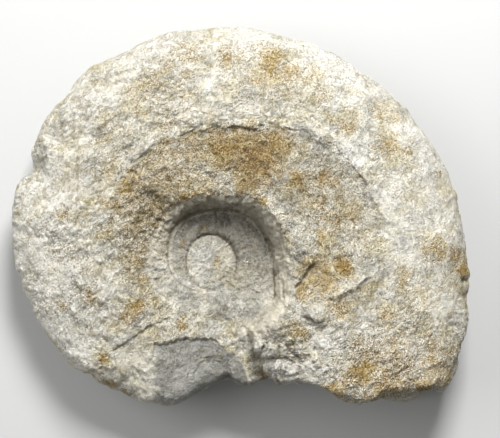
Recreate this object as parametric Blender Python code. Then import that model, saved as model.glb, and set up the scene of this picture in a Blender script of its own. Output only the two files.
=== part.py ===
"""An ammonite fossil: the limestone cast of a coiled shell, lying on its worn side.

Metres, +Z up, the origin on the ground under the middle of its bounding box. The shape is set
out about the coil's own axis, which stands upright at COIL_AXIS. "Back" is an angle in degrees
from the broken mouth back along the coil, which runs counter-clockwise seen from above: 0 to 360
is the last whorl, and 360 on is the whorl before it, which shows in the umbilicus.
"""

import math

import bmesh
import bpy
import numpy as np
from mathutils import Vector, noise

MM = 0.001
COIL_AXIS = (-8.2 * MM, -13.1 * MM)
START_BEARING = -66.0  # the bearing, from +X, at which back is 0

# The outline round the coil's axis: (back in degrees, radius in mm).
MOUTH_BREAK = ((0, 37.5), (3, 37), (6, 40.5), (11, 42.5), (16, 45), (18.5, 48.5), (20.5, 54),
               (25.5, 60.5), (30, 64), (34.5, 70), (37.5, 76))
VENTER = ((42, 77.5), (48, 77), (58, 75), (70, 74), (96, 72.5), (126, 70), (156, 68),
          (186, 66.5), (198, 64.5), (210, 62.5), (228, 60), (246, 57), (270, 53), (282, 51),
          (306, 46), (313, 45))
EARLY_BREAK = ((319, 43.5), (323.5, 41.5), (331, 38), (337, 36), (344, 35), (350, 36.5),
               (355, 37.5), (360, 37.5))
OUTLINE = MOUTH_BREAK + VENTER + EARLY_BREAK
NICKS = ((218.5, 3.6, 2.3), (290, 3, 0.7), (300, 2.4, 0.6))  # back, half width in degrees, depth
LOBE = (31.4, 3.4, 7.4)  # the under side's tongue past the mouth's break: as a nick, outwards
LOBE_STARTS = (0.5, 1.2)  # just under the keel, and how fast the tongue comes in below it
BREAK = ((0, 1), (36, 1), (44, 0), (310, 0), (322, 1), (360, 1))  # where the edge is a fracture
BREAK_WEAR = 2.2  # how much rougher the fracture is than the worn shell

# The coil, by back in degrees. Lengths are in mm.
SEAM = ((0, 20.5), (36, 20.5), (50, 19), (79, 17.5), (108, 17.5), (158, 15), (201, 14.5),
        (227, 13), (255, 12), (281, 10.5), (309, 9), (345, 7.5), (421, 7), (518, 8),
        (720, 7.5))  # radius of the whorl's inner edge
WALL = ((0, 4.5), (70, 5), (108, 5), (158, 4), (201, 5), (227, 7), (281, 10), (345, 7),
        (380, 3), (421, 2), (720, 2))  # how far out the umbilical wall takes to rise
RIM_SPREAD = 1.5  # on the upper side it takes this much further, with a rounded rim
RIM_EASE = 2.4
LOW_WALL = ((0, 0), (165, 0), (215, 0.85), (300, 1), (340, 1), (360, 0))  # share of a low wall
LOW_WALL_WIDTH = ((0, 2), (200, 2), (255, 1.2), (360, 1.2))  # of its crisp foot
LOW_WALL_RISE = 0.3  # of the flank's rise; the rest is a long shoulder
SHOULDER_WIDTH = 17
FLANK = ((0, 31), (35, 32.8), (75, 33.2), (158, 30.6), (227, 26), (281, 23.8), (345, 22.6),
         (421, 22), (518, 21), (572, 20.2), (720, 19.8))  # top of the upper side
KEEL = ((0, 14.6), (40, 16.2), (96, 16.5), (186, 14.5), (246, 13.5), (306, 12.6), (350, 12.8),
        (360, 14.6))  # height of the outline, half-way between the sides
UNDER = ((0, -0.3), (60, -0.7), (200, -0.5), (250, 0), (320, 2.2), (350, 3.4), (400, 5),
         (500, 6.6), (600, 7.6), (720, 7.8))  # under side's flank, before it is worn flat
SHARPNESS = ((0, 13), (30, 13), (42, 6.5), (60, 5.6), (300, 5.6), (322, 10), (360, 13))
DISC = 19.8  # height of the innermost whorls, filled in flat
UNDER_WALL_EASE = 1.7  # the under side's walls are softened by stone left on them

# The last whorl's broken end, where it steps down to the whorl below: (radius in mm, value).
MOUTH_FOOT = ((0, 3), (20, 3), (24, 4.4), (28, 1.6), (32, 3), (36, 1), (40, 2), (90, 2))  # back
MOUTH_SLOPE = ((0, 8), (21, 8), (30, 6), (36, 4), (50, 3), (90, 3))  # how far it takes to rise
SLOPE_REACH = 60  # back, past which the last whorl is whole

# The spiral ledge on the upper flank: the band inside it has lost a layer.
LEDGE = ((48, 50.6), (76, 49.9), (104, 48.4), (120, 45.6), (142, 39.8), (167, 37.4), (188, 35.6),
         (202, 34.4), (212, 33.4), (222, 31.2))
LEDGE_DROP = ((44, 0), (76, 0.4), (104, 0.5), (124, 0.5), (142, 0.55), (164, 0.9), (186, 1.9),
              (208, 1.5), (232, 0))
LEDGE_FADE = 13.0
STEP_WIDTH = 2.2  # how far a scar's edge takes to fall
CRISP_STEP_WIDTH = 1.3
SEAM_MARGIN = (2, 6)  # scars start this far out from the seam, and are whole this much further

# Scars on the upper flank, placed from the coil's axis, in mm.
SCOOP_LIP = ((-40, -46), (-24, -33), (-17, -27.8), (-16, -22.9), (-12.6, -22.9), (-7.6, -21.5),
             (0.9, -22.2), (3.4, -23.8), (9.3, -28.9), (13, -42), (60, -60))  # x, y
SCOOP_DROP = ((-40, 0), (-24, 0.3), (-17, 0.7), (-15, 1.7), (-4, 1.6), (3, 0.8), (12, 0.5),
              (60, 0))  # x, drop at the lip
SCOOP_SLANT = 0.85  # distance from the lip, as a share of the height below it
SCOOP_FADE = 9.0
STEPS = (((-28.6, -25.4), (-16.9, -17.6), 1.1, 3.4), ((-16.9, -17.6), (-11.7, -15.5), 1.0, 3.0),
         ((24.0, -6.6), (28.6, 0.2), 1.5, 7.0))  # ends, drop on the line's right, fade
FACETS = (((66, -16.9), (74.5, -2.9), 0.5), ((-49.9, 34.5), (-45.8, 29.8), 1.1),
          ((-49.4, 28.8), (-50.8, 24.5), 1.0))  # ends, slope on the line's right
FACET_REACH = 6.0
RIDGES = (((35.0, -9.3), (44.4, -3.5), 1.0, 0.7), ((-50.0, 35.5), (-39.0, 28.3), 1.4, 0.4),
          ((-48.0, 38.0), (-38.0, 31.0), 1.6, -0.7))  # ends, half width, height
RUN_IN = 3.5  # how far a step, a facet or a ridge takes to start and to stop along its line
HOLLOWS = (((31.2, -5.0), 7.2, 0.7), ((-50.8, 31.5), 4.6, 1.0), ((20.5, -36.5), 5.0, 1.0),
           ((10.4, -25.5), 4.6, 1.2), ((12.2, -32.5), 5.0, 1.2))  # centre, radius, depth
LUMPS = (((29.9, -12.4), 4.2, 0.9), ((23.0, -7.0), 3.0, 0.4))  # centre, radius, height
HOLLOW_REACH = 1.25  # a hollow fades out at this share of its radius
LUMP_REACH = 1.1
LUMP_STEEPNESS = 1.5

# The mouth's crumbled corner.
RUBBLE = ((20.5, -27), 12.0, 6.0, 2.0)  # centre, radius, size of a block, relief
RUBBLE_EDGE = 1.6  # how steeply it starts
RUBBLE_FALL = 0.6  # how far the corner has gone down, as a share of its relief
BLOCK_SEED = 3.1
GAP_DEPTH = 0.25  # of the cracks between its blocks, as a share of its relief
GAP_WIDTH = 0.5  # of a block

# Wear that is the same everywhere: (size in mm, height in mm, seed).
SWELLS = ((16, 0.75, 11.7), (7, 0.4, 23.4), (3.6, 0.22, 35.1))
EDGE_SEED = -1.1  # shifts the wear that moves the edge in and out
CALM = 0.3  # share of the wear inside the umbilicus
CALM_MARGIN = (1, 5)  # as SEAM_MARGIN

# How the ball's faces are shared out between the flank and the rounded edge.
FLANK_SHARE = 0.56
KNEE = 0.85
KNEE_EASE = 1.5
BALL_CUTS = 6  # the ball starts with 20480 faces
LONGEST_EDGE = 1.0  # mm, to which the ball's edges are cut before the mesh is thinned
CUTTING_ROUNDS = 3
MOST_TRIANGLES = 9400

COLOUR = (0.66, 0.60, 0.48, 1)


def through(knots, places):
    """A smooth curve through (place, value) knots that never overshoots them, read at places."""
    place, value = np.array(knots, float).T
    rate = np.diff(value) / np.diff(place)
    before, after = rate[:-1], rate[1:]
    level = before * after <= 0
    middle = np.where(level, 0, 2 * before * after / np.where(level, 1, before + after))
    slope = np.concatenate([rate[:1], middle, rate[-1:]])
    i = np.clip(np.searchsorted(place, places, side="right") - 1, 0, len(place) - 2)
    span = place[i + 1] - place[i]
    s = np.clip((places - place[i]) / span, 0, 1)
    start = (1 + 2 * s) * (1 - s) ** 2 * value[i] + s * (1 - s) ** 2 * span * slope[i]
    end = s * s * (3 - 2 * s) * value[i + 1] + s * s * (s - 1) * span * slope[i + 1]
    return start + end


def ease(x):
    """0 below 0, 1 above 1, smooth between."""
    x = np.clip(x, 0, 1)
    return x * x * (3 - 2 * x)


def rise(x):
    """0 at a crisp foot, 1 at a rounded shoulder."""
    return np.sin(np.clip(x, 0, 1) * math.pi / 2)


def step_down(inside, fade, width):
    """A scar: full depth at its edge, where inside is 0, fading out again further in."""
    return ease(inside / width + 0.5) * np.exp(-np.clip(inside, 0, None) / fade)


def far(x, y, centre):
    return np.hypot(x - centre[0], y - centre[1])


def swell(x, y, z, size, seed):
    """Blender's noise, from -1 to 1, over features of the given size in mm."""
    points = np.stack([x, y, z], axis=1) / size + seed
    return np.array([noise.noise(Vector(p)) for p in points])


def back_of(x, y):
    return (np.degrees(np.arctan2(y, x)) - START_BEARING) % 360


def clear_of_seam(x, y, margin):
    """0 inside the umbilicus, 1 on the last whorl."""
    start, width = margin
    return ease((np.hypot(x, y) - through(SEAM, back_of(x, y)) - start) / width)


def outline_radius(back, below):
    """The outline's radius. below is 0 on the upper side of the keel and 1 well under it."""
    radius = through(OUTLINE, back)
    for middle, half_width, depth in NICKS:
        radius = radius - depth * np.exp(-(((back - middle) / half_width) ** 2))
    middle, half_width, reach = LOBE
    return radius + below * reach * np.exp(-(((back - middle) / half_width) ** 4))


def upper_wall_rise(x, y, back):
    """How far the last whorl's upper side has risen from its seam towards the flank's top."""
    beyond = np.hypot(x, y) - through(SEAM, back)
    spread = np.clip(beyond / (RIM_SPREAD * through(WALL, back)), 0, 1)
    rounded = 1 - (1 - spread) ** RIM_EASE
    low = rise(beyond / through(LOW_WALL_WIDTH, back))
    slow = ease(beyond / SHOULDER_WIDTH)
    low = LOW_WALL_RISE * low + (1 - LOW_WALL_RISE) * slow
    return rounded + through(LOW_WALL, back) * (low - rounded)


def coil_height(x, y, levels, disc, wall_ease, outer_rise):
    """One side of the coil: every whorl rises from its seam to its flank, over the one before."""
    back, r = back_of(x, y), np.hypot(x, y)
    inner_rise = rise((r - through(SEAM, back + 360)) / (wall_ease * through(WALL, back + 360)))
    inner = disc + (through(levels, back + 360) - disc) * inner_rise
    from_mouth = r * np.radians(back - through(MOUTH_FOOT, r))
    mouth_rise = np.where(back < SLOPE_REACH, rise(from_mouth / through(MOUTH_SLOPE, r)), 1)
    return inner + (through(levels, back) - inner) * outer_rise * mouth_rise


def beside_line(x, y, start, end):
    """How far to the right of a line points lie, and 1 beside it, 0 past its ends."""
    (x0, y0), (x1, y1) = start, end
    length = math.hypot(x1 - x0, y1 - y0)
    along = ((x - x0) * (x1 - x0) + (y - y0) * (y1 - y0)) / length
    right = ((x - x0) * (y1 - y0) - (y - y0) * (x1 - x0)) / length
    return right, ease(along / RUN_IN + 0.5) * ease((length - along) / RUN_IN + 0.5)


def scars(x, y):
    """What wear and breaks have added to or taken from the upper side."""
    back = back_of(x, y)
    in_reach = (back > LEDGE_DROP[0][0]) & (back < LEDGE_DROP[-1][0])
    drop = np.where(in_reach, through(LEDGE_DROP, back), 0) * clear_of_seam(x, y, SEAM_MARGIN)
    change = -drop * step_down(through(LEDGE, back) - np.hypot(x, y), LEDGE_FADE, STEP_WIDTH)

    in_scoop = SCOOP_SLANT * (through(SCOOP_LIP, x) - y)
    change -= through(SCOOP_DROP, x) * step_down(in_scoop, SCOOP_FADE, CRISP_STEP_WIDTH)
    for start, end, drop, fade in STEPS:
        right, share = beside_line(x, y, start, end)
        change -= drop * share * step_down(right, fade, CRISP_STEP_WIDTH)
    for start, end, slope in FACETS:
        right, share = beside_line(x, y, start, end)
        change -= slope * share * np.clip(right, 0, FACET_REACH)
    for start, end, half_width, height in RIDGES:
        right, share = beside_line(x, y, start, end)
        change += height * share * np.exp(-((right / half_width) ** 2))

    for centre, radius, depth in HOLLOWS:
        change -= depth * ease(HOLLOW_REACH - far(x, y, centre) / radius)
    for centre, radius, height in LUMPS:
        change += height * ease(LUMP_STEEPNESS * (LUMP_REACH - far(x, y, centre) / radius))
    return change


def blocks(x, y):
    """The mouth's crumbled corner: blocks with cracks between them, each at its own height."""
    centre, radius, block, relief = RUBBLE
    share = ease(RUBBLE_EDGE * (1 - far(x, y, centre) / radius))
    points = np.stack([x, y, np.zeros_like(x)], axis=1) / block
    lift = np.zeros_like(x)
    for i in np.flatnonzero(share > 0):
        gaps, seats = noise.voronoi(Vector(points[i]))
        whole = float(ease((gaps[1] - gaps[0]) / GAP_WIDTH))
        lift[i] = whole * noise.noise(seats[0] * BLOCK_SEED) - GAP_DEPTH * (1 - whole)
    return relief * share * (lift - RUBBLE_FALL)


def edge_profile(up, back):
    """How far out a point of the ball goes, and how far it is from the keel to the flank."""
    sharp = through(SHARPNESS, back)
    share = (1 - np.abs(up)) / FLANK_SHARE
    past_knee = np.clip((share - 1) * FLANK_SHARE / (1 - FLANK_SHARE), 0, 1)
    edge = KNEE * (1 - past_knee**KNEE_EASE)
    knee_reach = (1 - KNEE**2) ** (1 / sharp)
    reach = np.where(share < 1, knee_reach * np.sqrt(np.clip(share, 0, 1)),
                     (1 - edge**2) ** (1 / sharp))
    return reach, np.where(share < 1, np.sqrt(1 - reach**sharp), edge)


def stone_point(ball):
    """Carries the points of a unit ball to the fossil: the equator goes to the outline."""
    bearing, up = np.arctan2(ball[:, 1], ball[:, 0]), ball[:, 2]
    back = (np.degrees(bearing) - START_BEARING) % 360
    reach, edge = edge_profile(up, back)
    lobe_start, lobe_speed = LOBE_STARTS
    below = ease(lobe_start - lobe_speed * edge * np.sign(up))
    radius = outline_radius(back, below)
    x, y = reach * radius * np.cos(bearing), reach * radius * np.sin(bearing)
    keel = through(KEEL, back)
    upper = coil_height(x, y, FLANK, DISC, 1, upper_wall_rise(x, y, back))
    upper = upper + scars(x, y) + blocks(x, y)
    under_rise = rise((reach * radius - through(SEAM, back)) / (UNDER_WALL_EASE * through(WALL, back)))
    under = coil_height(x, y, UNDER, UNDER[-1][1], UNDER_WALL_EASE, under_rise)
    z = np.where(up > 0, keel + (upper - keel) * edge, keel - (keel - under) * edge)

    wear = CALM + (1 - CALM) * clear_of_seam(x, y, CALM_MARGIN)
    edge_wear = reach**4 * (1 + (BREAK_WEAR - 1) * through(BREAK, back))
    for size, height, seed in SWELLS:
        lift = height * wear * swell(x, y, z, size, seed)
        out = 1 + height * edge_wear * swell(x, y, z, size, seed + EDGE_SEED) / radius
        z = z + lift * np.where(up > 0, edge, -edge)
        x, y = x * out, y * out
    return np.stack([x, y, np.clip(z, 0, None)], axis=1)


def add_stone_material():
    material = bpy.data.materials.new("limestone")
    material.use_nodes = True
    shader = material.node_tree.nodes["Principled BSDF"]
    shader.inputs["Base Color"].default_value = COLOUR
    shader.inputs["Roughness"].default_value = 0.9
    shader.inputs["Metallic"].default_value = 0.0
    material.diffuse_color = COLOUR
    return material


def cut_long_edges(ball):
    """Cuts the ball's edges wherever they come out long on the fossil."""
    for _ in range(CUTTING_ROUNDS):
        points = stone_point(np.array([v.co for v in ball.verts]))
        ends = np.array([[v.index for v in edge.verts] for edge in ball.edges])
        lengths = np.linalg.norm(points[ends[:, 0]] - points[ends[:, 1]], axis=1)
        long_edges = [edge for edge, size in zip(ball.edges, lengths) if size > LONGEST_EDGE]
        bmesh.ops.subdivide_edges(ball, edges=long_edges, cuts=1)
        bmesh.ops.triangulate(ball, faces=ball.faces)
        for vertex in ball.verts:
            vertex.co.normalize()
        ball.verts.index_update()


def add_ammonite():
    """A ball carried to the fossil's shape, then thinned where it is flat."""
    shape = bmesh.new()
    bmesh.ops.create_icosphere(shape, subdivisions=BALL_CUTS, radius=1)
    cut_long_edges(shape)
    points = stone_point(np.array([v.co for v in shape.verts])) * MM
    points[:, :2] += COIL_AXIS
    for vertex, point in zip(shape.verts, points):
        vertex.co = point
    mesh = bpy.data.meshes.new("ammonite")
    shape.to_mesh(mesh)
    shape.free()
    mesh.shade_smooth()
    mesh.materials.append(add_stone_material())
    ammonite = bpy.data.objects.new("ammonite", mesh)
    bpy.context.scene.collection.objects.link(ammonite)
    thin = ammonite.modifiers.new("thin where flat", "DECIMATE")
    thin.ratio = MOST_TRIANGLES / len(mesh.polygons)
    return ammonite


def main():
    for old in list(bpy.data.objects):
        bpy.data.objects.remove(old)
    add_ammonite()


main()
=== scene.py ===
import math

import bmesh
import bpy
import numpy as np
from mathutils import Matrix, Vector, noise


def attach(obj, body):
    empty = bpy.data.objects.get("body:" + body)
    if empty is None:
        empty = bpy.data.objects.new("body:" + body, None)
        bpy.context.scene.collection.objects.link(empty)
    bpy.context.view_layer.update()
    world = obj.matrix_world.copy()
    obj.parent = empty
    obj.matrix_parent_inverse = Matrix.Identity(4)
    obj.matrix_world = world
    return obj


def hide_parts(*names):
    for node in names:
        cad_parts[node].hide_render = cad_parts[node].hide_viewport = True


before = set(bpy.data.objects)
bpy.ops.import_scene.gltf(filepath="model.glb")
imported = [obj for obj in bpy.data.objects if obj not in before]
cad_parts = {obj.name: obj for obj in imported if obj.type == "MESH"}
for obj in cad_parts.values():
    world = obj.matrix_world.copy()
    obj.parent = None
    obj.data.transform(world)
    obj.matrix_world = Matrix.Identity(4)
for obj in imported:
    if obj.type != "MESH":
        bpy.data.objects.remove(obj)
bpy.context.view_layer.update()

mm = 0.001
print("frame loaded:", sorted(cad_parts))

# The coil, in mm about its own axis. "back" is an angle in degrees from the broken mouth back
# along the coil, counter-clockwise from above: 0 to 360 is the last whorl, 360 on the one before.
stone = {
    "name": "ammonite_stone",
    "coilAxis": (-8.2, -13.1),
    "startBearing": -66.0,
    # (back, radius)
    "outline": ((0, 37.5), (3, 37), (6, 40.5), (11, 42.5), (16, 45), (18.5, 48.5), (20.5, 54),
                (25.5, 60.5), (30, 64), (34.5, 70), (37.5, 76), (42, 77.5), (48, 77), (58, 75),
                (70, 74), (96, 72.5), (126, 70), (156, 68), (186, 66.5), (198, 64.5),
                (210, 62.5), (228, 60), (246, 57), (270, 53), (282, 51), (306, 46), (313, 45),
                (319, 43.5), (323.5, 41.5), (331, 38), (337, 36), (344, 35), (350, 36.5),
                (355, 37.5), (360, 37.5)),
    "nicks": ((218.5, 3.6, 2.3), (290, 3, 0.7), (300, 2.4, 0.6)),  # back, half width, depth
    "lobe": (31.4, 3.4, 7.4),  # the tongue below the mouth's break: back, half width, reach
    "seam": ((0, 20.5), (36, 20.5), (50, 19), (79, 17.5), (108, 17.5), (158, 15), (201, 14.5),
             (227, 13), (255, 12), (281, 10.5), (309, 9), (345, 7.6), (366, 7.3), (426, 6.8),
             (516, 7.9), (606, 6.9), (696, 7.7), (720, 7.4)),  # radius of the whorl's inner edge
    "wall": ((0, 4.5), (70, 5), (108, 5), (158, 4), (201, 5), (227, 7), (281, 10), (345, 7),
             (380, 3), (421, 2), (720, 2)),  # width of the umbilical wall
    "crispShare": ((0, 0), (165, 0), (215, 0.85), (300, 1), (340, 1), (360, 0)),
    "crispWidth": ((0, 2), (200, 2), (255, 1.2), (360, 1.2)),  # of the low wall at its foot
    "flank": ((0, 31), (35, 32.8), (75, 33.2), (158, 30.6), (227, 26), (281, 23.8),
              (345, 22.6), (421, 22), (518, 21), (572, 20.2), (720, 19.8)),  # upper side's top
    "keel": ((0, 14.6), (40, 16.2), (96, 16.5), (186, 14.5), (246, 13.5), (306, 12.6),
             (350, 12.8), (360, 14.6)),  # the outline's height
    "under": ((0, -0.3), (60, -0.7), (200, -0.5), (250, 0), (320, 2.2), (350, 3.4), (400, 5),
              (500, 6.6), (600, 7.6), (720, 7.8)),  # under side, before it is worn flat
    "sharpness": ((0, 55), (28, 55), (42, 9), (60, 5.8), (300, 5.8), (318, 14), (340, 28),
                  (360, 55)),  # power of the edge's section: 2 is round, more is squarer
    "knee": (0.56, 0.85),  # share of the ball that a flank takes, and how high its rim is
    "wallRim": (1.5, 2.4),  # how much wider the wall is with its rounded rim, and its power
    "lowWall": (17, 0.86),  # width in mm of the gentle part of the low wall, and its share
    "underEase": 1.7,  # how much wider the wall is on the under side
    "disc": 19.8,  # height of the innermost whorls, filled in flat
    "highest": (33.3, 1.0),  # bumps are pressed down above this, and rise this much at most
    "mouthFoot": ((0, 3), (20, 3), (24, 4.4), (28, 1.6), (32, 3), (36, 1), (40, 2), (90, 2)),
    "mouthSlope": ((0, 8), (21, 8), (30, 6), (36, 4), (50, 3), (90, 3)),
    "breakShare": ((0, 1), (36, 1), (44, 0), (310, 0), (322, 1), (360, 1)),  # broken edge
    "edgeWear": 1.2,  # how much rougher a broken edge is
    "wobbles": ((4.5, 0.9, 3.3), (1.4, 0.35, 8.1)),  # of the scars' lines: size, reach, seed
    "swells": ((16, 0.75, 11.7), (7, 0.4, 23.4), (3.6, 0.22, 35.1)),  # size, height, seed
    # the spiral ledge on the upper flank, and the outer edge of the sandy zone inside it
    "ledge": ((48, 50.6), (76, 49.9), (104, 48.4), (120, 45.6), (142, 39.8), (167, 37.4),
              (188, 35.6), (202, 34.4), (212, 33.4), (222, 31.2)),
    "ledgeDrop": ((44, 0), (76, 0.4), (104, 0.5), (124, 0.5), (142, 0.55), (164, 0.8),
                  (186, 1.5), (208, 1.4), (232, 0)),
    "ledgeWidth": ((44, 2.6), (108, 2.2), (126, 0.9), (156, 1.1), (172, 4.4), (186, 5.4),
                   (230, 5.4)),
    "ledgeFade": 13.0,
    "sandyEdge": ((48, 50.6), (76, 49.9), (104, 48.4), (120, 45.6), (142, 39.8), (167, 37.4),
                  (188, 35.6), (206, 33.6), (228, 28), (260, 25), (322, 25)),
    # scars, in mm: the scoop's lip as (x, y) and its drop as (x, depth)
    "scoopLip": ((-40, -46), (-24, -33), (-17, -27.8), (-16, -22.9), (-12.6, -22.9),
                 (-7.6, -21.5), (0.9, -22.2), (3.4, -23.8), (9.3, -28.9), (13, -42), (60, -60)),
    "scoopDrop": ((-40, 0), (-24, 0.2), (-17, 0.5), (-15, 1.3), (-4, 1.2), (3, 0.7), (12, 0.4),
                  (60, 0)),
    # bites are centre, radius, drop, fade, lip. Steps are a line's ends, drop, fade, and fall
    # away on the line's right.
    "bites": (((-51.6, 30.6), 4.6, 1.2, 5.0, 0.7), ((0.6, -33.2), 5.6, 0.5, 2.0, 0.5)),
    "steps": ((-28.6, -25.4, -16.9, -17.6, 0.7, 3.4), (-16.9, -17.6, -11.7, -15.5, 0.6, 3.0),
              (24.0, -6.6, 28.6, 0.2, 1.5, 7.0)),
    "hollows": (((31.2, -5.0), 7.2, 1.0), ((20.5, -36.5), 5.0, 1.0), ((10.4, -25.5), 4.6, 1.2),
                ((12.2, -32.5), 5.0, 1.2), ((9.5, 1.5), 4.5, 0.5)),  # centre, radius, depth
    # broken facets: the line where each starts, slope; it falls away on the right
    "facets": ((66, -16.9, 74.5, -2.9, 0.5), (-49.9, 34.5, -45.8, 29.8, 1.1),
               (-49.4, 28.8, -50.8, 24.5, 1.0)),
    "lumps": (((29.9, -11.8), 3.8, 1.0), ((29.9, -14.2), 2.8, 0.7),
              ((23.0, -7.0), 2.6, 0.5)),  # centre, radius, height
    "banks": ((33.0, -9.3, 36.5, -8.6, 0.8, 0.9), (36.0, -9.0, 44.4, -3.5, 0.75, 1.5),
              (-50.0, 35.5, -39.0, 28.3, 1.3, 0.5), (-48.0, 38.0, -38.0, 31.0, 1.5, -0.8),
              (-2.6, -31.4, 4.4, -32.4, 1.2, 0.3)),  # ends, half width, height
    # the mouth's crumbled corner: centre and radius; blocks: x, y, lift, tilt east, tilt north
    "corner": ((19.8, -26), 10.5),
    "blockSlope": 3.2,  # how far in from a crack a block reaches its full height
    "blockCrack": 0.55,
    "blocks": ((14.2, -22.7, 1.9, 0, -0.15), (17.4, -24.2, 2.1, -0.1, -0.2),
               (14.4, -19.6, -0.6, 0, 0), (18, -20.3, -0.7, 0, 0), (21.6, -20.4, -0.3, 0, 0),
               (21.4, -25, 0.2, -0.2, -0.15), (18.2, -29.2, 0.6, -0.1, -0.3),
               (22.6, -29.6, 0.4, 0, -0.25), (26.4, -24.2, 0.4, 0, -0.1), (28, -29.4, 0.4, 0, -0.1),
               (24.8, -20.4, 0.3, 0, 0), (18.8, -33.6, 0.4, -0.1, -0.2), (23.6, -34, 0.2, 0, -0.1)),
    # the mesh: the ball's first cuts, then the longest edges in mm
    "ballCuts": 6,
    "edgeAbove": 0.78,
    "edgeBelow": 2.1,
    "edgeAtLines": 0.44,
    "rounds": (1, 1, 1),  # cuts made in each round
}


def through(knots, places):
    # a smooth curve through (place, value) knots that never overshoots them
    place, value = np.array(knots, float).T
    rate = np.diff(value) / np.diff(place)
    before, after = rate[:-1], rate[1:]
    level = before * after <= 0
    middle = np.where(level, 0, 2 * before * after / np.where(level, 1, before + after))
    slope = np.concatenate([rate[:1], middle, rate[-1:]])
    i = np.clip(np.searchsorted(place, places, side="right") - 1, 0, len(place) - 2)
    span = place[i + 1] - place[i]
    s = np.clip((places - place[i]) / span, 0, 1)
    start = (1 + 2 * s) * (1 - s) ** 2 * value[i] + s * (1 - s) ** 2 * span * slope[i]
    end = s * s * (3 - 2 * s) * value[i + 1] + s * s * (s - 1) * span * slope[i + 1]
    return start + end


def ease(x):
    x = np.clip(x, 0, 1)
    return x * x * (3 - 2 * x)


def rise(x):
    return np.sin(np.clip(x, 0, 1) * math.pi / 2)


def stepDown(inside, width, fade):
    return ease(inside / width + 0.5) * np.exp(-np.clip(inside, 0, None) / fade)


def far(x, y, centre):
    return np.hypot(x - centre[0], y - centre[1])


def swell(points, size, seed):
    # Blender's noise from -1 to 1, over features of that size in mm
    return np.array([noise.noise(Vector(p)) for p in points / size + seed])


def backOf(x, y):
    return (np.degrees(np.arctan2(y, x)) - stone["startBearing"]) % 360


def clearOfSeam(x, y, start, width):
    return ease((np.hypot(x, y) - through(stone["seam"], backOf(x, y)) - start) / width)


def alongLine(x, y, start, end):
    # how far along the line from start, and how far to its right
    (x0, y0), (x1, y1) = start, end
    length = math.hypot(x1 - x0, y1 - y0)
    along = ((x - x0) * (x1 - x0) + (y - y0) * (y1 - y0)) / length
    right = ((x - x0) * (y1 - y0) - (y - y0) * (x1 - x0)) / length
    return along, right, length


def betweenEnds(along, length, soft):
    # 1 between a line's ends, fading to 0 past them
    return ease(along / soft + 0.5) * ease((length - along) / soft + 0.5)


def wobbleAt(x, y):
    # how far the scars' lines stray there, in mm
    flat = np.stack([x, y, np.zeros_like(x)], axis=1)
    return sum(reach * swell(flat, size, seed) for size, reach, seed in stone["wobbles"])


def outlineRadius(back, below):
    radius = through(stone["outline"], back)
    for middle, halfWidth, depth in stone["nicks"]:
        radius = radius - depth * np.exp(-(((back - middle) / halfWidth) ** 2))
    middle, halfWidth, reach = stone["lobe"]
    return radius + below * reach * np.exp(-(((back - middle) / halfWidth) ** 4))


def coilHeight(x, y, levels, disc, upper):
    # every whorl rises from its seam to its flank, over the one before it
    back, r = backOf(x, y), np.hypot(x, y)
    seam, wall = stone["seam"], stone["wall"]
    widen = 1 if upper else stone["underEase"]
    fromSeam = r - through(seam, back)
    innerRise = rise((r - through(seam, back + 360)) / (widen * through(wall, back + 360)))
    inner = disc + (through(levels, back + 360) - disc) * innerRise
    fromMouth = r * np.radians(back - through(stone["mouthFoot"], r))
    mouthRise = rise(fromMouth / through(stone["mouthSlope"], r))
    if upper:
        # a crisp, low wall at the foot on the left, and a rounded rim elsewhere
        crisp = through(stone["crispShare"], back)
        gentleWidth, gentle = stone["lowWall"]
        low = rise(fromSeam / through(stone["crispWidth"], back))
        low = (1 - gentle) * low + gentle * ease(fromSeam / gentleWidth)
        rimWidth, power = stone["wallRim"]
        soft = 1 - (1 - np.clip(fromSeam / (rimWidth * through(wall, back)), 0, 1)) ** power
        outerRise = (1 - crisp) * soft + crisp * low
        steep = 0.55 * rise(fromMouth / 1.8) + 0.45 * ease(fromMouth / 9)
        mouthRise = mouthRise + (steep - mouthRise) * ease((42 - r) / 8)
    else:
        outerRise = rise(fromSeam / (widen * through(wall, back)))
    mouthRise = np.where(back < 60, mouthRise, 1)
    return inner + (through(levels, back) - inner) * outerRise * mouthRise


def fromLedge(x, y):
    # distance inside the spiral ledge's line, and how much of a ledge there is
    back = backOf(x, y)
    inReach = (back > stone["ledgeDrop"][0][0]) & (back < stone["ledgeDrop"][-1][0])
    drop = np.where(inReach, through(stone["ledgeDrop"], back), 0)
    return through(stone["ledge"], back) - np.hypot(x, y), drop


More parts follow.
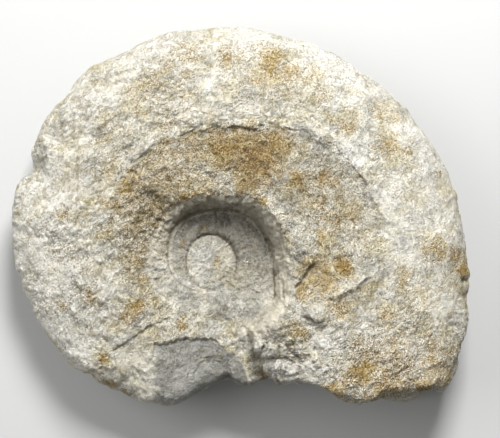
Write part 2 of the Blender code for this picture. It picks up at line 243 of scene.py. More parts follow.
def scars(x, y, wobble):
    back = backOf(x, y)
    inside, drop = fromLedge(x, y)
    width = through(stone["ledgeWidth"], back)
    change = -drop * stepDown(inside + wobble, width, stone["ledgeFade"])
    change = change * clearOfSeam(x, y, 2, 6)
    inScoop = 0.85 * (through(stone["scoopLip"], x) - y) + 0.3 * wobble
    change -= through(stone["scoopDrop"], x) * stepDown(inScoop, 0.9, 9)
    for centre, radius, drop, fade, lip in stone["bites"]:
        change -= drop * stepDown(radius - far(x, y, centre) + 0.5 * wobble, lip, fade)
    for x0, y0, x1, y1, drop, fade in stone["steps"]:
        along, right, length = alongLine(x, y, (x0, y0), (x1, y1))
        ends = betweenEnds(along, length, 2)
        change -= drop * ends * stepDown(right + 0.3 * wobble, 0.7, fade)
    for x0, y0, x1, y1, halfWidth, height in stone["banks"]:
        along, right, length = alongLine(x, y, (x0, y0), (x1, y1))
        ends = betweenEnds(along, length, 3)
        change += height * ends * np.exp(-((right + 0.5 * wobble) / halfWidth) ** 2)
    for x0, y0, x1, y1, slope in stone["facets"]:
        along, right, length = alongLine(x, y, (x0, y0), (x1, y1))
        change -= slope * betweenEnds(along, length, 2) * np.clip(right, 0, 6)
    for centre, radius, depth in stone["hollows"]:
        change -= depth * ease(1.25 - (far(x, y, centre) + wobble) / radius)
    for centre, radius, height in stone["lumps"]:
        change += height * ease(2.2 * (1.1 - (far(x, y, centre) + 0.6 * wobble) / radius))
    return change


def blocks(x, y, wobble):
    # blocks, each at its own height and tilt, and how deep a point lies in a crack between them
    centre, radius = stone["corner"]
    share = ease(1.8 * (1 - far(x, y, centre) / radius))
    places = np.array(stone["blocks"])
    east = x[:, None] + 0.4 * wobble[:, None] - places[:, 0]
    north = y[:, None] - places[:, 1]
    distance = np.hypot(east, north)
    rows = np.arange(len(x))
    first, second = np.argsort(distance, axis=1)[:, :2].T
    fromBorder = distance[rows, second] - distance[rows, first]
    lift, tiltEast, tiltNorth = places[first, 2:].T
    top = lift + tiltEast * east[rows, first] + tiltNorth * north[rows, first]
    change = share * (rise(fromBorder / stone["blockSlope"]) * (top + 0.7) - 0.9)
    return change, share * np.exp(-(fromBorder / stone["blockCrack"]) ** 2)


def edgeProfile(up, back):
    # how far out a point of the ball goes, and how far it is from the keel to the flank
    sharp = through(stone["sharpness"], back)
    kneeShare, kneeEdge = stone["knee"]
    share = (1 - np.abs(up)) / kneeShare
    pastKnee = np.clip((share - 1) * kneeShare / (1 - kneeShare), 0, 1)
    edge = kneeEdge * (1 - pastKnee**1.5)
    kneeReach = (1 - kneeEdge**2) ** (1 / sharp)
    reach = np.where(share < 1, kneeReach * np.sqrt(np.clip(share, 0, 1)),
                     (1 - edge**2) ** (1 / sharp))
    return reach, np.where(share < 1, np.sqrt(1 - reach**sharp), edge)


def stonePoint(ball, worn=True):
    # carries the points of a unit ball to the fossil: the equator goes to the outline
    bearing, up = np.arctan2(ball[:, 1], ball[:, 0]), ball[:, 2]
    back = (np.degrees(bearing) - stone["startBearing"]) % 360
    reach, edge = edgeProfile(up, back)
    below = ease(0.5 - 1.2 * edge * np.sign(up))
    radius = outlineRadius(back, below)
    x, y = reach * radius * np.cos(bearing), reach * radius * np.sin(bearing)
    keel = through(stone["keel"], back)
    wobble = wobbleAt(x, y) if worn else np.zeros_like(x)
    upper = coilHeight(x, y, stone["flank"], stone["disc"], True) + scars(x, y, wobble)
    if worn:
        upper = upper + blocks(x, y, wobble)[0]
    under = coilHeight(x, y, stone["under"], stone["under"][-1][1], False)
    z = np.where(up > 0, keel + (upper - keel) * edge, keel - (keel - under) * edge)
    if worn:
        flankWear = 0.15 + 0.85 * clearOfSeam(x, y, 1.5, 6)
        edgeWear = reach**4 * (1 + stone["edgeWear"] * through(stone["breakShare"], back))
        for size, height, seed in stone["swells"]:
            points = np.stack([x, y, z], axis=1)
            lift = height * flankWear * swell(points, size, seed)
            out = 1 + height * edgeWear * swell(points, size, seed - 1.1) / radius
            z = z + lift * np.where(up > 0, edge, -edge)
            x, y = x * out, y * out
    return np.stack([x, y, np.clip(z, 0, None)], axis=1)


def lineGap(x, y):
    # distance to the nearest crisp line: seams, ledge, bites, steps, scoop and corner
    back, r = backOf(x, y), np.hypot(x, y)
    inside, drop = fromLedge(x, y)
    gaps = [np.abs(r - through(stone["seam"], back)),
            np.abs(r - through(stone["seam"], back + 360)),
            np.where(drop > 0.3, np.abs(inside), 9)]
    for centre, radius, _, _, _ in stone["bites"]:
        gaps.append(np.abs(radius - far(x, y, centre)))
    for x0, y0, x1, y1, _, _ in stone["steps"]:
        along, right, length = alongLine(x, y, (x0, y0), (x1, y1))
        gaps.append(np.abs(right) + 9 * ((along < 0) | (along > length)))
    inScoop = through(stone["scoopLip"], x) - y
    gaps.append(np.abs(inScoop) + 9 * ((x < -17) | (x > 8)))
    gaps.append(far(x, y, stone["corner"][0]) - stone["corner"][1] + 2)
    return np.min(gaps, axis=0)


def cutLongEdges(ball):
    # cuts the ball's edges wherever they come out long on the fossil
    for cuts in stone["rounds"]:
        vertices = np.array([v.co for v in ball.verts])
        points = stonePoint(vertices, worn=False)
        ends = np.array([[v.index for v in edge.verts] for edge in ball.edges])
        lengths = np.linalg.norm(points[ends[:, 0]] - points[ends[:, 1]], axis=1)
        middle = (points[ends[:, 0]] + points[ends[:, 1]]) / 2
        above = vertices[ends[:, 0], 2] + vertices[ends[:, 1], 2] > -0.12
        longest = np.where(above, stone["edgeAbove"], stone["edgeBelow"])
        atLine = above & (lineGap(middle[:, 0], middle[:, 1]) < 0.5) & (middle[:, 2] > 14)
        longest = np.where(atLine, stone["edgeAtLines"], longest)
        longEdges = [edge for edge, cut in zip(ball.edges, lengths > cuts * longest) if cut]
        bmesh.ops.subdivide_edges(ball, edges=longEdges, cuts=cuts)
        bmesh.ops.triangulate(ball, faces=ball.faces)
        for vertex in ball.verts:
            vertex.co.normalize()
        ball.verts.index_update()
        print("cut to", len(ball.faces), "faces")


# Weathering, in mm. Spots are (x, y, radius, strength).
wear = {
    "rough": ((-46, 8, 16, 1.05), (-38, 40, 14, 1.15), (-36, -14, 14, 1.05), (-14, 52, 15, 1.1),
              (-20, 12, 12, 1.05), (42, 24, 7, 1.3), (33, 32, 7, 1.3), (47, 12, 6, 1.2),
              (24, -26, 12, 1.3), (30, 14, 14, 0.9), (52, -28, 16, 1.1), (12, 30, 10, 0.9)),
    "calm": ((-4, -38, 13, 0.75), (-18, -28, 8, 0.45), (54, 6, 10, 0.45), (66, -12, 5, 0.7),
             (45, 44, 14, 0.3), (31, -3, 5, 0.7), (58, 35, 10, 0.4), (60, 18, 12, 0.4),
             (66, -8, 8, 0.4), (-40, 32, 9, 0.3), (30, 58, 9, 0.3), (-52, -4, 12, 0.3),
             (-42, -20, 10, 0.35), (10, 64, 8, 0.35), (60, 0, 12, 0.3)),
    # cracks: a line's ends, half width, depth
    "cracks": ((-27.2, 42.1, -31.6, 36.9, 0.3, 0.4), (-31.6, 36.9, -34.8, 35.9, 0.3, 0.3),
               (-37.4, 26.9, -38.8, 24.8, 0.3, 0.3), (-38.8, 24.8, -42.0, 21.9, 0.3, 0.25),
               (-27.2, 29.2, -31.1, 27.4, 0.3, 0.3), (-27, 52.3, -20.7, 50.8, 0.3, 0.35),
               (-28, 47.5, -22.5, 49, 0.3, 0.3), (-9, 54.6, -4.2, 54, 0.3, 0.3),
               (3.9, 13.1, 6.1, 14.0, 0.3, 0.4), (15.2, 8.8, 17.8, 4.1, 0.35, 0.45),
               (14.2, 9.6, 16.2, 6.0, 0.25, 0.3), (20.4, -5.2, 21.0, -10.2, 0.35, 0.4),
               (10.1, -11.4, 11.9, -15.0, 0.25, 0.35), (10.7, -20.6, 12.2, -25.6, 0.3, 0.2),
               (44, -19.3, 48.5, -24, 0.3, 0.3), (62.5, 15.2, 63.7, 9.3, 0.3, 0.3),
               (15, 39.8, 19.8, 38.4, 0.3, 0.4), (21.3, 49.2, 26.9, 49, 0.3, 0.25),
               (53.7, 46.7, 54.8, 44.8, 0.4, 0.4), (64.6, 32, 65.2, 30, 0.4, 0.4),
               (72.4, -4.6, 74.6, -5.2, 0.5, 0.5), (-3.0, -27.0, 2.6, -27.2, 0.35, 0.5),
               (2.6, -27.2, 6.9, -31.0, 0.35, 0.35), (17.5, 18.0, 19.6, 15.5, 0.3, 0.4),
               (16.6, -27.0, 19.4, -26.4, 0.35, 0.5), (19.4, -26.4, 24.0, -27.7, 0.3, 0.5),
               (21.9, -23.1, 25.0, -27.2, 0.35, 0.5), (15.3, -21.8, 15.0, -24.2, 0.35, 0.6),
               (26.2, -14.6, 29.6, -16.6, 0.4, 0.5), (29.6, -16.6, 31.8, -15.4, 0.4, 0.5),
               (33.6, -9.4, 35.4, -11.0, 0.3, 0.4)),
    # small pits: x, y, radius, depth
    "pits": ((-2.7, 9.6, 0.8, 0.3), (-7.6, 6.1, 0.8, 0.35), (-7.7, 11.2, 0.6, 0.2),
             (11.6, 4.4, 0.6, 0.4), (11.1, 0.8, 0.5, 0.4), (18.0, 3.4, 0.5, 0.4),
             (-35.3, 40.9, 0.8, 0.4), (-37.2, 37.4, 0.7, 0.35), (-37.7, 29.5, 0.7, 0.4),
             (-38.0, 18.3, 0.8, 0.4), (27.9, -22.7, 0.5, 0.4), (25.1, -24.2, 0.6, 0.5),
             (28.0, -26.0, 0.5, 0.4), (29.0, -27.5, 0.5, 0.4), (14.7, -32.2, 1.4, 0.5),
             (40.6, -4.6, 0.5, 0.3), (72.6, -5.2, 0.8, 0.5), (3.5, 9.5, 0.5, 0.2)),
    # size and height of each kind of relief; flakes have steps too
    "lumps": (8, 1.1), "small": (2.4, 0.33), "flakes": (4.6, 0.33, 2.6),
    "creases": (2.6, 0.43), "grain": (1.3, 0.3), "fine": (0.8, 0.16),
    "alongCoil": (46, 1.9),  # relief is drawn out along the coil as on this radius, and across
    "alongBreaks": (0.75, 1.4),  # how it is drawn out along and across the breaks
    "wallLines": 0.2, "discArcs": 0.1,  # heights
}


def spots(x, y, places, ragged=None):
    # how strongly a place is covered by the spots; ragged shifts it, for uneven outlines
    if ragged is not None:
        x, y = x + ragged[0], y + ragged[1]
    most = np.zeros_like(x)
    for placeX, placeY, radius, strength in places:
        most = np.maximum(most, strength * np.exp(-(far(x, y, (placeX, placeY)) / radius) ** 2))
    return most


def grainyZone(x, y):
    # the sandy zone between the ledge and the umbilicus
    back = backOf(x, y)
    inside = through(stone["sandyEdge"], back) - np.hypot(x, y)
    soft = 2 + 6 * ease((back - 200) / 40)
    zone = ease(inside / soft + 0.5) * ease((back - 55) / 35) * ease((322 - back) / 20)
    return zone * clearOfSeam(x, y, 1 - 1.2 * ease((back - 190) / 20), 1.6)


def drawnOut(points, above):
    # places for noise drawn out along the coil, and on the lower right along the breaks
    x, y, z = points.T
    bearing, r = np.arctan2(y, x), np.hypot(x, y)
    radius, across = wear["alongCoil"]
    coil = np.stack([radius * np.cos(bearing), radius * np.sin(bearing), across * r + z], axis=1)
    stretch, squeeze = wear["alongBreaks"]
    diagonal = 0.707
    breaks = np.stack([stretch * (x + y) * diagonal, squeeze * (y - x) * diagonal, z], axis=1)
    share = (ease((x - 36) / 8) * ease((-y - 12) / 10) * above)[:, None]
    return coil * (1 - share) + breaks * share


def weathering(points, above, rough, grainy):
    # lumps, flakes, creases and grain: how far each point stands out, and how light it is
    # the lightness is painted shade: lighter on flake steps and raised grain, darker in creases and
    # low grain
    drawn = drawnOut(points, above)
    fade = above * 0.7 + 0.3
    size, height = wear["lumps"]
    relief = height * rough * swell(points, size, 2.2)
    size, height = wear["small"]
    relief = relief + height * rough * swell(drawn, size, 12.6)
    size, height, steps = wear["flakes"]
    level = swell(drawn, size, 41) + 0.5 * swell(drawn, size / 2.1, 17)
    level = steps * (level + 0.22 * swell(drawn, size / 4.5, 9) + 2)
    flakes = np.floor(level) + ease((level % 1) / 0.3) - steps * 2
    relief = relief + height * rough * flakes
    size, height = wear["creases"]
    broken = ease(0.55 + 1.8 * swell(points, 4.3, 19))
    creases = broken * np.exp(-(swell(drawn, size, 77) / 0.13) ** 2)
    broken = ease(0.5 + 1.8 * swell(points, 3.1, 23))
    creases = np.maximum(creases, broken * np.exp(-(swell(drawn, size / 1.7, 50) / 0.16) ** 2))
    relief = relief - height * rough * fade * creases
    size, height = wear["grain"]
    grain = swell(points, size, 5.1)
    relief = relief + height * (0.35 + 0.65 * rough) * grainy * fade * grain
    size, height = wear["fine"]
    fine = swell(points, size, 6.3)
    relief = relief + height * (0.4 + 0.6 * rough) * grainy * fade * fine
    even = np.clip(rough, 0, 1)
    reliefShading = 0.58 + 0.12 * even * (flakes % 1 - 0.2) - 0.25 * creases * even
    return relief, reliefShading + grainy * (0.3 * grain + 0.16 * fine)


def cracksAndPits(x, y, above, shake):
    # how deep each point lies in them, in mm and as a share
    # the share is painted dark: the cracks' own dark, and painted shade in cracks and pits
    depths, darkCracksAndShade = np.zeros_like(x), np.zeros_like(x)
    for x0, y0, x1, y1, halfWidth, depth in wear["cracks"]:
        along, right, length = alongLine(x, y, (x0, y0), (x1, y1))
        inCrack = betweenEnds(along, length, 1.5) * above
        inCrack = inCrack * np.exp(-((right + shake) / halfWidth) ** 2)
        depths += depth * inCrack
        darkCracksAndShade = np.maximum(darkCracksAndShade, inCrack * min(1, depth / 0.5))
    for placeX, placeY, radius, depth in wear["pits"]:
        inPit = np.exp(-((far(x, y, (placeX, placeY)) + 0.6 * shake) / radius) ** 2) * above
        depths += depth * inPit
        darkCracksAndShade = np.maximum(darkCracksAndShade, 0.9 * inPit)
    return depths, darkCracksAndShade


def shadedLines(points, above, shake):
    # the lines under the ledge, along the seams and between the blocks: how deep each point
    # lies in them, in mm and as a share
    # the share is painted shade, darker round the disc on one side; between blocks, dark cracks and
    # painted shade
    x, y, _ = points.T
    back, r, bearing = backOf(x, y), np.hypot(x, y), np.arctan2(y, x)
    wobble = wobbleAt(x, y)
    inside, _ = fromLedge(x, y)
    fromSeam = r - through(stone["seam"], back)
    fromDisc = r - through(stone["seam"], back + 360)
    faint = ease(0.5 + 1.5 * swell(points, 2.3, 33))
    ledge = ease((back - 112) / 12) * ease((176 - back) / 16) * above
    ledge = ledge * np.exp(-((inside + wobble - 0.3) / 0.17) ** 2)
    ledge = ledge * ease(0.5 + 1.8 * swell(points, 3.1, 15))
    disc = np.exp(-((fromDisc - 0.2) / 0.3) ** 2) * above
    seam = np.exp(-((fromSeam - 0.1) / 0.3) ** 2) * above * ease((back - 20) / 20)
    low = np.exp(-((fromSeam - 1.3) / 0.3) ** 2) * above * ease((back - 190) / 20)
    rim = np.exp(-((fromSeam - 3.7) / 0.5) ** 2) * above
    rim = rim * ease((back - 12) / 12) * ease((62 - back) / 12)
    shares = (0.85 * blocks(x, y, wobble)[1] * above * ease(0.7 + 1.5 * shake),
              0.7 * ledge,
              0.95 * disc * ease(0.8 + 0.3 * np.sin(bearing - 0.4)),
              (0.75 + 0.2 * faint) * seam * ease((330 - back) / 30),
              0.35 * low * ease((270 - back) / 25),
              0.35 * rim * faint)
    depths = 0.2 * ledge + 0.4 * disc + 0.25 * seam + 0.1 * low + 0.1 * rim
    return depths, np.max(shares, axis=0)


def fineRelief(points, above):
    # how far each point stands out from the plain form, how deep it lies in a crack, and how
    # light and how calm it is
    # the crack share is painted dark, partly painted shade; the lightness is painted shade and
    # highlight following the relief
    x, y, z = points.T
    back, r, bearing = backOf(x, y), np.hypot(x, y), np.arctan2(y, x)
    fromSeam = r - through(stone["seam"], back)
    fromDisc = r - through(stone["seam"], back + 360)
    towardLeft = ease((back - 200) / 30)
    onWhorl = clearOfSeam(x, y, 1.5 - 1.6 * towardLeft, 3.5 - 2 * towardLeft)
    rough = np.maximum(0.8, spots(x, y, wear["rough"])) * (1 - spots(x, y, wear["calm"]))
    rough = np.where(above, 0.45 + (rough - 0.45) * onWhorl, 0.8)
    grainy = 0.55 + 0.45 * grainyZone(x, y)
    relief, reliefShading = weathering(points, above, rough, grainy)

    shake = 0.45 * swell(points, 2.4, 61) + 0.2 * swell(points, 0.9, 62)
    crackDepth, crackDarkAndShade = cracksAndPits(x, y, above, shake)
    lineDepth, lineShade = shadedLines(points, above, shake)
    relief = relief - crackDepth - lineDepth
    darkCracksAndShade = np.maximum(crackDarkAndShade, lineShade)

    # fine lines along the umbilical wall, and low arcs on the disc
    # both are painted lighter where they stand out, a painted highlight
    onWall = ease(fromSeam + 1) * (1 - onWhorl) * above
    lines = swell(np.stack([5 * np.cos(bearing), 5 * np.sin(bearing), 1.1 * z + 1.2 * fromSeam],
                           axis=1), 1.1, 3.7)
    onDisc = ease(-fromDisc / 0.6) * above
    arcs = np.sin(3.6 * np.hypot(x + 1.0, y - 2.4)) * ease((0.5 - y) / 3)
    relief = relief + wear["wallLines"] * onWall * lines + wear["discArcs"] * onDisc * arcs
    reliefShading = reliefShading + 0.3 * onWall * lines + 0.18 * onDisc * arcs
    return relief, darkCracksAndShade, reliefShading, np.clip(1.05 - rough, 0, 1) * above


# Colour. Spots on the upper side are (x, y, radius, strength), in mm.
stains = {
    # how dark the umbilical wall, the sandy zone and the wall's foot are, by the angle back
    # the wall's darkness and the foot's are painted shade; the sandy zone's is its own brown
    "wallShade": ((0, 0.0), (36, 0.05), (62, 0.15), (84, 0.75), (110, 1.0), (200, 0.95),
                 (235, 0.5), (300, 0.1), (360, 0.0)),
    "sandTone": ((0, 0.1), (70, 0.2), (100, 0.4), (120, 0.44), (150, 0.4), (200, 0.28),
                 (235, 0.3), (260, 0.3), (300, 0.25), (360, 0.1)),
    "footShade": ((0, 0.45), (30, 0.5), (60, 0.7), (90, 0.85), (120, 0.85), (180, 0.72),
                 (230, 0.58), (280, 0.5), (320, 0.45), (360, 0.45)),
    "ochre": ((12.8, 29.8, 9, 1.15), (4, 32, 6, 1.05), (18.5, 33.5, 5, 1.0), (11, 24, 5, 0.9),
              (8, 34, 4.5, 1.0), (1, 35.5, 3, 0.8), (24.5, 23, 3.5, 0.9), (32, 23.5, 5, 0.75),
              (28.5, 18, 3, 0.5), (13.5, 17, 3, 0.9), (-6.5, 18.5, 3, 0.8), (3.5, 19.5, 3, 0.6),
              (17, 57, 4.5, 0.75), (23, 54, 4, 0.75), (30, 54.5, 3.5, 0.5), (5, 57.5, 4.5, 0.65),
              (13, 53, 4, 0.55), (32.5, 48, 2.5, 0.5), (48, 44, 3.5, 0.5), (53, 41.5, 3, 0.5),
              (39, 39, 3.5, 0.55), (50.5, 33.5, 4, 0.6), (56, 32, 3, 0.6), (65.5, 25.5, 1.8, 0.6),
              (30.5, 16, 4, 0.6), (34, 12, 4.5, 0.65), (40, 14, 5, 0.5), (31, 7.5, 2.5, 0.7),
              (31, -4, 7.5, 0.8), (37, -0.5, 3.4, 0.95), (26, -7, 3.4, 0.85),
              (36.5, -13, 4.5, 0.65), (24, -18, 4, 0.6), (42, -8, 4, 0.4),
              (42.5, -30.5, 5.5, 1.05), (36, -34.5, 4, 0.8), (48, -35.5, 4.5, 0.75),
              (44, -25, 4, 0.6), (60, -34.5, 4, 0.9), (67.5, -32, 4, 0.7), (57, -28, 5, 0.5),
              (54.5, -4, 3.5, 0.55), (63, 4, 4.5, 0.6), (72.5, -2, 3, 1.0), (70.5, 3, 3, 0.7),
              (68.5, -14.5, 2, 0.5), (42, -22, 3, 0.5), (61.5, -21.5, 4, 0.5), (50, -16, 5, 0.45),
              (-17, 51.5, 4.5, 0.5), (-7.5, 60, 4.5, 0.5), (-12, 56, 4, 0.5),
              (-6.5, 53.5, 2.5, 0.5), (-5, 48, 2.2, 0.5), (-12, 39, 2.8, 0.5),
              (-24, 21.5, 3, 0.95), (-21.5, 25.5, 2.5, 0.8), (-27, 16, 3, 0.7),
              (-12.5, 33, 3, 0.7), (-4.5, 20.5, 2, 0.8), (-15.5, 16.5, 3.5, 0.7),
              (-30, 17, 2.2, 0.6), (-30, 9, 3, 0.6), (-42.5, 13.5, 3.2, 0.6), (-16, 10.5, 3, 0.75),
              (-19.5, 4.5, 2.4, 0.6), (-20, -4, 3, 0.6), (-21, -12, 3.5, 0.9),
              (-23.5, -15.5, 3, 0.75), (-14, -9, 3.2, 0.7), (-34, -9.5, 3.5, 0.6),
              (-42.5, -12.5, 2.2, 0.6), (-8.5, -18, 2.2, 0.8), (-30.8, -28, 2.2, 0.9),
              (-25, -39, 2, 1.1), (-29.5, -36.5, 2.2, 1.05), (-2.7, 9.6, 0.9, 1.3),
              (-7.6, 6.1, 0.9, 1.2), (-7.7, 11.2, 0.7, 1.0), (1.5, -0.5, 1.8, 0.6),
              (26, -20, 2.5, 0.8), (14.7, -32.2, 2.4, 0.8), (12, 30, 11, 0.6), (36, 8, 12, 0.35),
              (-10, 46, 12, 0.35), (26, 52, 8, 0.3), (-27, 36, 9, 0.34), (-20, 46, 8, 0.38),
              (-44, 2, 12, 0.25), (-46, -12, 8, 0.25), (58, -12, 9, 0.42), (52, -22, 9, 0.45),
              (-30, 27, 8, 0.35), (50, -32, 14, 0.65), (64, -28, 8, 0.6), (15, 55, 14, 0.35),
              (68, -6, 7, 0.35)),
    "slate": ((50, 15, 13, 0.3), (58, 34, 10, 0.2), (27, 36.5, 3.5, 0.7), (32, 32.5, 3.4, 0.7),
              (39, 27, 3, 0.6), (45.5, 19, 3.6, 0.7), (47.5, 12, 4, 0.5), (22, 16, 5.5, 0.6),
              (21.5, 11.5, 4, 0.6), (25.8, 2.3, 2.6, 1.0), (54.5, 6, 6, 0.55), (44, -9.5, 5, 0.5),
              (47, 2, 5, 0.4), (55, -10, 4.5, 0.45), (-16.5, 58.5, 3.5, 0.4), (-2, 58, 4, 0.5),
              (6, 47.5, 3.5, 0.4), (1.5, 31, 4, 0.4), (-48.5, 5.5, 2.5, 0.4),
              (-23.5, -6.5, 3, 0.5), (-21, -17.8, 2.4, 0.7), (-18, -21, 2.6, 0.5),
              (31, -32, 2.5, 0.6), (29, 48, 3, 0.4), (21.5, -25, 3.2, 0.6), (19, -30, 4, 0.4),
              (18, -19.6, 2.5, 0.6), (13, 6, 3.5, 0.6), (28, -0.8, 1.8, 0.8), (-6, -11, 6, 0.6),
              (-14, -5, 4, 0.5), (2, -13, 6, 0.65), (13, -15, 7, 0.6), (8, -9, 6, 0.5),
              (-48.2, 32, 3.2, 0.5), (-50, 27, 2, 0.5), (68, -14, 5, 0.4), (62, 36, 6, 0.3)),
    # dark clay stains, and painted shade in the hollows by the mouth's corner and the scar
    "clayAndShade": ((11.6, -22.5, 1.4, 0.8), (12.4, -27, 2.4, 0.7), (14.4, -31.5, 2.2, 0.8),
             (12.8, -34, 3, 0.6), (6, -6, 6, 0.55), (11, -9, 8, 0.5), (14, -16, 6, 0.45),
             (4, -14, 6, 0.45), (-6, -11, 6, 0.4), (9.5, 4.5, 3.5, 0.75), (10.5, 0, 4, 1.0),
             (26.8, -3.5, 1.6, 0.5), (30, -3.4, 3.2, 0.62), (17, -19.4, 2, 0.3),
             (-17, 20, 12, 0.5), (10, 30, 9, 0.5), (20, 25, 6, 0.4), (20, -37, 2.4, 0.5),
             (29.5, -11.5, 3, 0.3), (60, -40, 5, 0.3), (-24, -24, 6, 0.35), (-33, -24, 4, 0.2),
             (13, 1, 4, 0.6), (12, -9, 5, 0.55), (15, -3, 6, 0.85), (-18, -28, 5, 0.45),
             (62, 22, 7, 0.15)),
    # pale stone, and painted highlights along the top rim and on the scar's ridge
    "pale": ((37.5, 54.5, 8, 0.8), (58, 37, 6, 0.6), (61, 21, 7, 0.25), (35, -27, 6, 0.6),
             (17.0, -24.3, 3, 0.7), (14, -22.8, 2, 0.7), (-30, 36, 9, 0.4), (69.5, -14, 4, 0.5),
             (10, 66, 9, 0.9), (-14, 62, 9, 0.7), (30, 61, 8, 0.8), (22, -19.5, 3, 0.5),
             (23.5, -6.5, 2.6, 0.8), (19, -29, 4, 1.0), (25, -29, 7, 0.9), (54, -30, 12, 1.0),
             (38, -33, 8, 0.8), (34, -22, 7, 0.8), (46, -22, 8, 0.8), (60, -20, 9, 0.4),
             (38, 32, 9, 0.35), (48, 20, 9, 0.4), (56, 8, 10, 0.35), (72, 8, 6, 0.5),
             (-58, 0, 12, 0.8), (-56, 20, 10, 0.7), (-46, -22, 9, 0.6), (-52, 8, 8, 0.6),
             (-36, 46, 9, 0.7), (16, -16.5, 3.4, 0.8), (52, 12, 5, 0.4), (-30, 0, 8, 0.3),
             (29.9, -13.2, 3.4, 0.7), (37.4, -8, 1.5, 0.8), (40, -6.2, 1.6, 0.9),
             (42.6, -4.6, 1.6, 0.8), (24, 9.5, 3, 0.7), (-45, 18, 12, 0.5), (-38, 36, 9, 0.2),
             (-49, -14, 9, 0.9), (-40, -24, 8, 0.8), (-46, 4, 12, 0.8), (-36, -10, 9, 0.9),
             (-44, 18, 8, 0.6), (-58, -6, 8, 0.8), (46, -36, 8, 0.5), (60, 12, 8, 0.3),
             (40, 31, 6, 0.9), (62, 30, 7, 0.7), (31, 34, 4, 0.6), (24, 37, 4, 0.5),
             (35, -14, 6, 0.6), (24, -13, 5, 0.6), (46, -26, 7, 0.7), (10, 48, 8, 0.4),
             (24, 46, 8, 0.4), (-46, 46, 5, 0.5), (-28, 48, 12, 0.4), (-48, -4, 12, 0.4),
             (-34, -24, 6, 0.2), (-5, 50, 16, 0.45), (-20, 54, 9, 0.5), (24, 66, 8, 0.8),
             (-50, 46, 8, 0.6), (22, 42, 9, 0.4), (-28, 22, 8, 0.2), (-28, -20, 2.5, 0.5),
             (52, 45, 9, 0.4)),
    "ragged": ((71.3, 74.1), (83.7, 86.9)),  # seeds of the spots' uneven outlines
    "mud": ((13.5, -3, 7, 1.2), (10, -12, 7, 0.7), (15, 5, 4, 0.7)),
    "crystal": ((10.3, 0.2, 1.8, 0.85), (11, -2.6, 1.4, 0.8), (13, -3.2, 1.2, 0.8),
                (29.5, -6.6, 2.0, 0.9), (26, 2.5, 2.5, 0.5)),
}


def colourLayers(points, darkCracksAndShade, reliefShading, calm):
    # what the material reads at each point
    x, y, z = points.T
    back, r = backOf(x, y), np.hypot(x, y)
    facing = ease((z - 12) / 6)  # the spots belong to the upper side
    ragged = [1.7 * swell(points, 5, large) + 1.3 * swell(points, 2.1, small)
              for large, small in stains["ragged"]]
    fromSeam = r - through(stone["seam"], back)
    onDisc = 1 - ease(r - through(stone["seam"], back + 360) + 0.4)
    wallWidth = through(stone["wall"], back) * (1.15 - 0.25 * through(stone["crispShare"], back))
    upWall = np.clip(fromSeam / wallWidth, -1, 1)
    onWall = ease(3 * (1 - upWall)) * ease(1 + 4 * upWall)
    lowWall = ease(fromSeam + 1) * ease((9 - fromSeam) / 5) * ease((back - 225) / 30)
    inCrescent = ease(-4 * upWall) * (1 - onDisc)
    inScoop = ease(0.85 * (through(stone["scoopLip"], x) - y) + 0.2)
    inScoop = inScoop * ease((y + 46) / 8) * ease((13 - x) / 3) * ease((x + 24) / 6)
    inScoop = inScoop * (0.4 + 0.6 * ease((x + 17.5) / 4))
    inside, _ = fromLedge(x, y)
    # a painted highlight along the ledge's outer rim
    lip = np.exp(-((inside + 2) / 1.8) ** 2) * ease((back - 150) / 25) * ease((240 - back) / 20)
    # painted shade just inside the ledge's step, tinted ochre
    ledgeShadeAndOchre = ease(inside / 2 + 0.6) * np.exp(-np.clip(inside, 0, None) / 4)
    ledgeShadeAndOchre = ledgeShadeAndOchre * ease((back - 150) / 25) * ease((236 - back) / 14)
    grainy = grainyZone(x, y)
    golden = grainy * ease((back - 130) / 40) * ease((280 - back) / 40)

    # clay stains, and painted shade on the umbilical wall, at its foot and inside the ledge
    clayAndShade = np.max((
        spots(x, y, stains["clayAndShade"], ragged),
        onWall * through(stains["wallShade"], back) * (1 - 0.8 * np.clip(upWall, 0, 1)),
        inCrescent * through(stains["footShade"], back),
        grainy * through(stains["sandTone"], back) * ease((26 - inside) / 8),
        0.36 * ledgeShadeAndOchre, 0.3 * onDisc, 0.4 * inScoop, 0.5 * lowWall), axis=0)
    ochre = np.max((spots(x, y, stains["ochre"], ragged), 0.6 * ledgeShadeAndOchre, 0.5 * golden), axis=0)
    crescent = ease((back - 50) / 60) * (1 - 0.35 * ease((back - 190) / 40))
    slate = np.max((spots(x, y, stains["slate"], ragged), 0.95 * inScoop, 0.5 * onDisc,
                    0.75 * inCrescent * crescent, 0.45 * lowWall), axis=0)
    pale = np.maximum(spots(x, y, stains["pale"], ragged), 0.3 * lip)
    calm = np.max((calm, onWall, 0.6 * onDisc, 0.55 * inScoop), axis=0)
    return {"darkCracksAndShade": darkCracksAndShade, "reliefShading": reliefShading + 0.08 * np.clip(pale, 0, 1) * facing,
            "grainy": grainy * facing, "calm": calm * facing,
            "clayAndShade": clayAndShade * facing, "slate": slate * facing, "pale": pale * facing,
            "ochre": ochre * facing * (1 - 0.6 * onWall),
            "wall": onWall * facing * ease((255 - back) / 30),
            "mud": spots(x, y, stains["mud"]) * inCrescent,
            "crystal": spots(x, y, stains["crystal"]) * facing}


